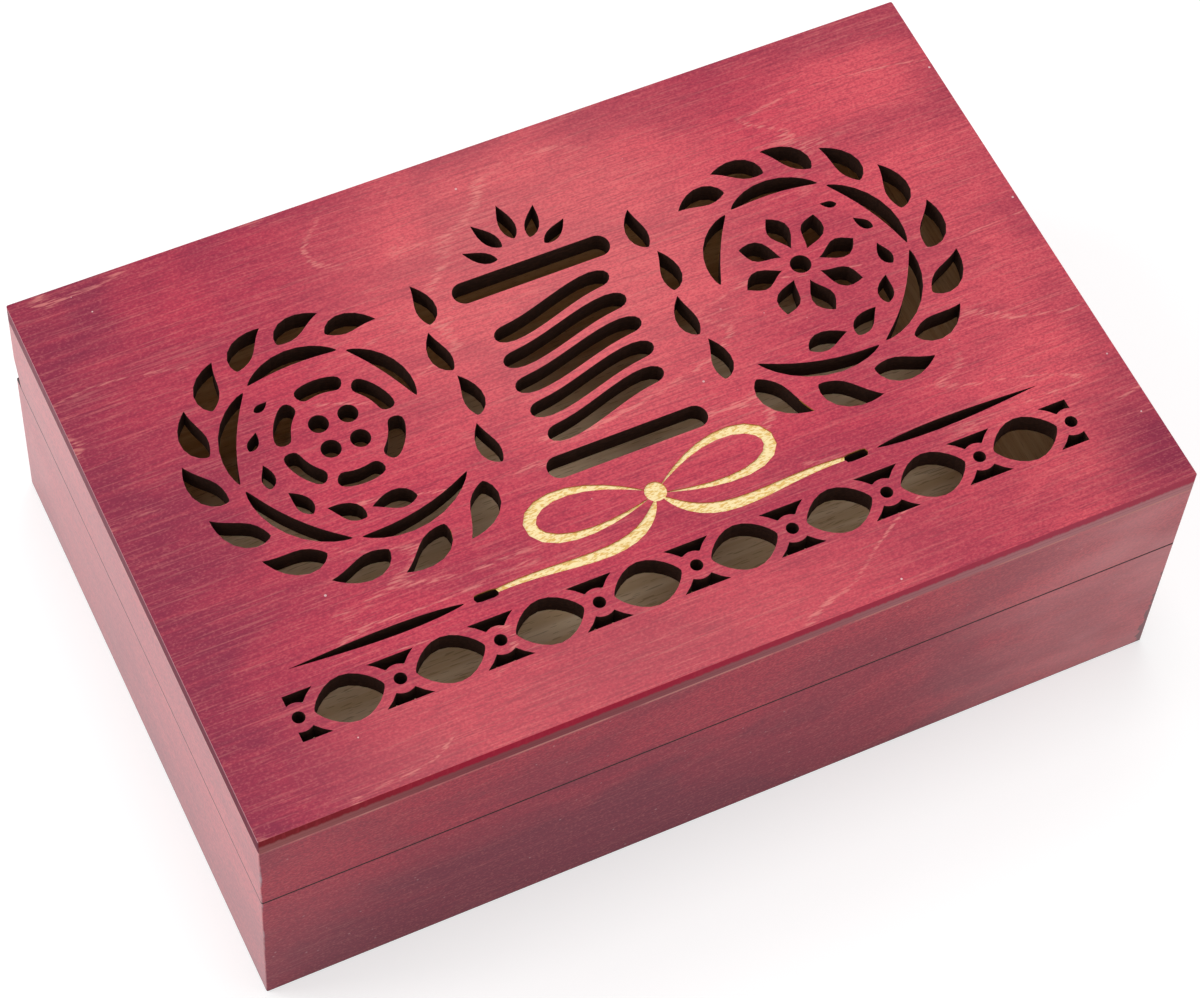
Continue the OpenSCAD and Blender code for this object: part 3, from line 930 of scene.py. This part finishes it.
@dataclass(frozen=True)
class FretworkPlywood(DyedBirch):
    """The panel: birch plywood dyed on its face, and cut and engraved by a laser.

    Its face is painted lighter behind the middle and to the right, for the light that falls there,
    and is darker at its left end, at its front right corner and along its ends and back. A faint
    painted sheen lies behind the middle, and the face is a little paler along the front.
    """

    # Rubbed as the long boards are, so its IOR is under the usual 1.5 too.
    ior: float = 1.3
    roughness: Step = Step(0.0, 1.0, 0.75, 0.5)
    edge: PlywoodEdge = PlywoodEdge()
    charred: CharredWall = CharredWall()
    engraving: Engraving = Engraving()

    # Painted light behind the middle and to the right, darker at the left end, at the front right
    # corner and along the ends and back, and a painted sheen behind the middle with a paler front.
    painted_light_spot: Spot = Spot((8.0, 36.0, BOX.top), Step(5.0, 84.0, 1.0, 0.05))
    painted_light_right: Step = Step(40.0, 104.0, 0.0, 0.8)
    dark_left: Step = Step(-56.0, -110.0, 0.0, 0.6)
    dark_corner: Spot = Spot((113.0, -73.0, BOX.top), Step(6.0, 34.0, 0.4, 0.0))
    dark_rim: Step = Step(0.0, 16.0, 0.3, 0.0)
    sheen_spot: Spot = Spot((2.0, 38.0, BOX.top), Step(14.0, 70.0, 0.13, 0.0))
    pale_front: Step = Step(-42.0, -68.0, 0.0, 0.12)
    pale_from_left: Step = Step(-112.0, -70.0)
    pale_from_right: Step = Step(80.0, 0.0)

    # How far in from the panel's edge its cut walls start, and how far up or down a face looks.
    past_edge: Step = Step(0.3, 0.9)
    looks_up: Step = Step(0.4, 0.6)
    looks_down: Step = Step(-0.4, -0.6)
    not_sunk: Step = Step(0.0, 1.0, 1.0, 0.0)

    def face(self, at: WoodCoordinates, grain: Grain, to_end: Node) -> Node:
        """Makes the colour of the dyed face.

        Args:
            at: The coordinates of the material.
            grain: Which way the grain runs.
            to_end: How far a point is from the nearer end of the box, in millimetres.

        Returns:
            The node that gives the colour.
        """
        tree = at.tree
        # Painted light behind the middle and to the right; darker at the left end, at the front
        # right corner and along the ends and back.
        right = add(tree, "MapRange", self.painted_light_right.of(at.x), **SMOOTH)
        glow = add(tree, "Math", [at.spot(self.painted_light_spot), right], operation="MAXIMUM")
        left = add(tree, "MapRange", self.dark_left.of(at.x), **SMOOTH)
        shade = add(tree, "Math", [left, at.spot(self.dark_corner)], operation="ADD")
        to_back = add(tree, "Math", [BOX.half_depth, at.y], operation="SUBTRACT")
        rim = add(tree, "Math", [to_end, to_back], operation="MINIMUM")
        rim = add(tree, "MapRange", self.dark_rim.of(rim), **SMOOTH)
        shade = add(tree, "Math", [shade, rim], operation="ADD")
        colour = self.dyed(at, grain, glow, shade)

        # Paler over a painted sheen behind the middle, and along the front.
        front, from_left, from_right = [
            add(tree, "MapRange", inputs, **SMOOTH)
            for inputs in (
                self.pale_front.of(at.y),
                self.pale_from_left.of(at.x),
                self.pale_from_right.of(at.x),
            )
        ]
        between = add(tree, "Math", [from_left, from_right], operation="MULTIPLY")
        front = add(tree, "Math", [front, between], operation="MULTIPLY")
        paler = add(tree, "Math", [at.spot(self.sheen_spot), front], operation="MAXIMUM")
        return add(tree, "Mix", [paler, colour, self.fibre_and_sheen], **OVER)

    def make(self) -> bpy.types.Material:
        """Builds the material.

        Returns:
            The material.
        """
        material, shader = new_material(self.name)
        at = WoodCoordinates.on(material.node_tree)
        tree, grain = at.tree, Grain.ALONG_X
        to_end = at.within(at.x, BOX.half_length)
        to_side = at.within(at.y, BOX.half_depth)
        below_top = add(tree, "Math", [BOX.top, at.z], operation="SUBTRACT")

        inside = add(tree, "Math", [to_end, to_side], operation="MINIMUM")
        inside = add(tree, "MapRange", self.past_edge.of(inside), **SMOOTH)
        edge = self.edge.colour(at, to_end, to_side)
        charred = self.charred.colour(at, grain, below_top)
        wall = add(tree, "Mix", [inside, edge, charred], **OVER)
        engraved = self.engraving.walls(at, below_top)
        wall = add(tree, "Mix", [engraved, wall, self.engraving.browned], **OVER)

        sunk = add(tree, "MapRange", self.engraving.floor_depth.of(below_top), **SMOOTH)
        face, floor = self.face(at, grain, to_end), self.engraving.floor(at, grain)
        face = add(tree, "Mix", [sunk, face, floor], **OVER)

        level = add(tree, "MapRange", self.looks_up.of(at.up), **SMOOTH)
        colour = add(tree, "Mix", [level, wall, face], **OVER)
        under = add(tree, "MapRange", self.looks_down.of(at.up), **SMOOTH)
        colour = add(tree, "Mix", [under, colour, self.raw_wood(at, grain)], **OVER)
        satin = add(tree, "MapRange", self.not_sunk.of(sunk), **SMOOTH)
        satin = add(tree, "Math", [level, satin], operation="MULTIPLY")
        finish = {
            "Base Color": colour,
            "Roughness": add(tree, "MapRange", self.roughness.of(satin), **SMOOTH),
            "Normal": self.relief(at, grain),
            "IOR": self.ior,
        }
        feed(tree, shader, finish)
        return material


@dataclass(frozen=True)
class RawBirchPly(RawBirch):
    """The floor: raw birch plywood, sanded, with its edges out of sight in the walls' rebates."""

    roughness: float = 0.6

    def make(self) -> bpy.types.Material:
        """Builds the material.

        Returns:
            The material.
        """
        material, shader = new_material(self.name)
        at = WoodCoordinates.on(material.node_tree)
        finish = {
            "Base Color": self.raw_wood(at, Grain.ALONG_X),
            "Roughness": self.roughness,
            "Normal": self.relief(at, Grain.ALONG_X),
        }
        feed(at.tree, shader, finish)
        return material


@dataclass(frozen=True)
class Metal:
    """A small metal part, rolled or drawn, with a light brushing along X and a little tarnish."""

    name: str
    colour: str
    tarnish: str
    roughness: float
    smoother: float = 0.06
    rougher: float = 0.1
    brushing: Streaks = Streaks(6.0, 0.15, detail=2.0)
    brushing_limits: tuple[float, float] = (0.2, 0.8)
    brushing_depth: float = 0.01
    brushing_strength: float = 0.2
    stains: Streaks = Streaks(5.0, 3.0, Step(0.5, 0.75, 0.0, 0.6))

    def make(self) -> bpy.types.Material:
        """Builds the material.

        Returns:
            The material.
        """
        material, shader = new_material(self.name)
        at = WoodCoordinates.on(material.node_tree)
        tree = at.tree
        brushed = at.streaks(Grain.ALONG_X, self.brushing)
        stained = at.shown(Grain.ALONG_X, self.stains)
        gloss = Step(
            *self.brushing_limits, self.roughness - self.smoother, self.roughness + self.rougher
        )
        bump = {
            "Height": brushed,
            "Strength": self.brushing_strength,
            "Distance": self.brushing_depth * MM,
        }
        finish = {
            "Base Color": add(tree, "Mix", [stained, self.colour, self.tarnish], **OVER),
            "Roughness": add(tree, "MapRange", gloss.of(brushed), **SMOOTH),
            "Normal": add(tree, "Bump", bump),
            "Metallic": 1.0,
        }
        feed(tree, shader, finish)
        return material


@dataclass(frozen=True)
class SoftBox:
    """A soft studio lamp, named for where it stands."""

    name: str
    place: tuple[float, float, float]
    size: float
    light: float
    aim: tuple[float, float, float] = (0.0, 0.0, 0.04)

    def build(self) -> bpy.types.Object:
        """Adds the lamp, whose power gives its share of a level light at the object.

        Returns:
            The lamp object.
        """
        data = bpy.data.lights.new(self.name, "AREA")
        data.shape = "DISK"
        data.size = self.size
        way = Vector(self.aim) - Vector(self.place)
        data.energy = self.light * (math.pi * way.length) ** 2
        lamp = bpy.data.objects.new(self.name, data)
        lamp.location = self.place
        lamp.rotation_mode = "QUATERNION"
        lamp.rotation_quaternion = way.to_track_quat("-Z", "Y")
        bpy.context.scene.collection.objects.link(lamp)
        return lamp


@dataclass
class Studio:
    """Camera, lamps, pale floor and white surroundings.

    To the lens the floor is mostly a white glow, which hides its far edge and keeps a soft shadow.
    """

    camera_place: tuple[float, float, float] = (-0.23485841, -0.41339269, 0.78416972)
    camera_aim: tuple[float, float, float] = (-0.0123043, -0.02659225, 0.075)
    camera_roll: float = -5.414
    lens: float = 112.3076
    sensor: float = 36.0
    nearest: float = 0.01
    farthest: float = 20.0
    floor_half: float = 2.5
    paper: float = 0.55
    paper_seen: float = 0.5
    paper_glow: float = 0.6
    ambient: float = 0.36
    lamps: tuple[SoftBox, ...] = (
        SoftBox("above", (0.05, 0.15, 1.9), 0.7, 0.34),
        SoftBox("back_left", (-1.3, 0.7, 1.3), 1.0, 0.38),
        SoftBox("back_right", (0.55, 0.9, 1.5), 0.9, 0.1),
        SoftBox("front", (-0.5, -1.4, 1.2), 1.2, 0.06),
        SoftBox("front_right", (0.6, -0.65, 0.35), 0.4, 0.1, aim=(0.1, -0.075, 0.04)),
    )

    def camera(self) -> bpy.types.Object:
        """Adds the camera of the photograph.

        Returns:
            The camera object.
        """
        data = bpy.data.cameras.new("camera")
        data.sensor_width, data.lens = self.sensor, self.lens
        data.clip_start, data.clip_end = self.nearest, self.farthest
        place, aim = Vector(self.camera_place), Vector(self.camera_aim)
        forward = (aim - place).normalized()
        level = forward.cross(Vector((0, 0, 1))).normalized()
        down = forward.cross(level)
        roll = math.radians(self.camera_roll)
        right = math.cos(roll) * level + math.sin(roll) * down
        up = -forward.cross(right)
        turn = Matrix((right, up, -forward)).transposed().to_4x4()
        camera = bpy.data.objects.new("camera", data)
        camera.matrix_world = Matrix.Translation(place) @ turn
        bpy.context.scene.collection.objects.link(camera)
        bpy.context.scene.camera = camera
        return camera

    def white_to_lens(self, tree: Tree) -> Node:
        """Says where a ray sees the background: from the lens, off gloss or through glass.

        Args:
            tree: The node tree of the floor or the world.

        Returns:
            The node that gives 1 for such a ray.
        """
        path = add(tree, "LightPath").outputs
        direct = [path["Is Camera Ray"], path["Is Glossy Ray"]]
        seen = add(tree, "Math", direct, operation="MAXIMUM")
        return add(tree, "Math", [seen, path["Is Transmission Ray"]], operation="MAXIMUM")

    def floor(self) -> bpy.types.Object:
        """Adds the pale floor, which shows white and keeps the object's shadow.

        Returns:
            The floor object.
        """
        bpy.ops.object.select_all(action="DESELECT")
        bpy.ops.mesh.primitive_plane_add(size=2 * self.floor_half)
        floor = bpy.context.active_object
        floor.name = "studio_floor"
        material = bpy.data.materials.new("matt_white_paper")
        material.use_nodes = True
        tree = material.node_tree
        tree.nodes.clear()
        paper = add(tree, "BsdfDiffuse", {"Color": grey(self.paper)})
        shade = add(tree, "BsdfDiffuse", {"Color": grey(self.paper_seen)})
        white = add(tree, "Emission", {"Color": grey(1.0), "Strength": self.paper_glow})
        shown = add(tree, "AddShader", [shade, white])
        mixed = add(tree, "MixShader", [self.white_to_lens(tree), paper, shown])
        add(tree, "OutputMaterial", {"Surface": mixed})
        floor.data.materials.append(material)
        return floor

    def world(self) -> None:
        """Sets the white surroundings and their soft ambient light."""
        world = bpy.data.worlds.new("studio")
        world.use_nodes = True
        tree = world.node_tree
        tree.nodes.clear()
        strength = Step(0.0, 1.0, self.ambient, 1.0).of(self.white_to_lens(tree))
        strength = add(tree, "MapRange", strength, **SMOOTH)
        light = add(tree, "Background", {"Color": grey(1.0), "Strength": strength})
        add(tree, "OutputWorld", {"Surface": light})
        bpy.context.scene.world = world

    def build(self) -> None:
        """Builds the whole studio."""
        self.camera()
        self.floor()
        self.world()
        for lamp in self.lamps:
            lamp.build()
        bpy.context.scene.view_settings.view_transform = "Standard"
        log.info("studio: camera, floor and %d lamps", len(self.lamps))


@dataclass
class SubAssembly:
    """A group of pieces of the box that are dressed together."""

    nodes: dict[str, bpy.types.Object]

    def dress(self, name: str, material: bpy.types.Material) -> None:
        """Gives a piece its finish.

        Args:
            name: The piece's name.
            material: The finish.
        """
        piece = self.nodes[name]
        piece.data.materials.clear()
        piece.data.materials.append(material)
        log.info("%s: %s", name, material.name)


@dataclass
class Base(SubAssembly):
    """The base: four dyed boards and a raw plywood floor."""

    long_board: LongBoard = LongBoard("dyed_birch_board_long")
    short_board: ShortBoard = ShortBoard("dyed_birch_board_short")
    ply: RawBirchPly = RawBirchPly("raw_birch_plywood")

    def build(self) -> tuple[bpy.types.Material, bpy.types.Material]:
        """Dresses the base.

        Returns:
            The finishes of the long and of the short boards, which the lid shares.
        """
        long_board, short_board = self.long_board.make(), self.short_board.make()
        for side in ("front", "back"):
            self.dress(f"base_{side}_wall", long_board)
        for side in ("left", "right"):
            self.dress(f"base_{side}_wall", short_board)
        self.dress("base_floor", self.ply.make())
        return long_board, short_board


@dataclass
class Lid(SubAssembly):
    """The lid: four dyed rails under a fretwork panel."""

    panel: FretworkPlywood = FretworkPlywood("dyed_laser_cut_birch_plywood")

    def build(self, long_board: bpy.types.Material, short_board: bpy.types.Material) -> None:
        """Dresses the lid.

        Args:
            long_board: Finish of the front and back rails.
            short_board: Finish of the left and right rails.
        """
        for side in ("front", "back"):
            self.dress(f"lid_{side}_rail", long_board)
        for side in ("left", "right"):
            self.dress(f"lid_{side}_rail", short_board)
        self.dress("lid_panel", self.panel.make())


@dataclass
class Hinges(SubAssembly):
    """Two brass butt hinges with brass screws and steel pins."""

    leaf: Metal = Metal("rolled_brass", "#d8b15a", "#9a7434", 0.3)
    screw: Metal = Metal("turned_brass", "#dcb863", "#a07a38", 0.24)
    pin: Metal = Metal("drawn_steel_wire", "#b9babd", "#85868a", 0.28)

    def build(self) -> None:
        """Dresses both hinges."""
        leaf, screw, pin = self.leaf.make(), self.screw.make(), self.pin.make()
        for side in ("left", "right"):
            for half in ("base", "lid"):
                self.dress(f"{side}_hinge_{half}_leaf", leaf)
                self.dress(f"{side}_hinge_{half}_screws", screw)
            self.dress(f"{side}_hinge_pin", pin)


def main() -> None:
    """Builds the studio and dresses the box."""
    logging.basicConfig(level=logging.INFO, format="%(name)s: %(message)s")
    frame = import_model()
    Studio().build()
    boards = Base(frame["nodes"]).build()
    Lid(frame["nodes"]).build(*boards)
    Hinges(frame["nodes"]).build()


if __name__ == "__main__":
    main()
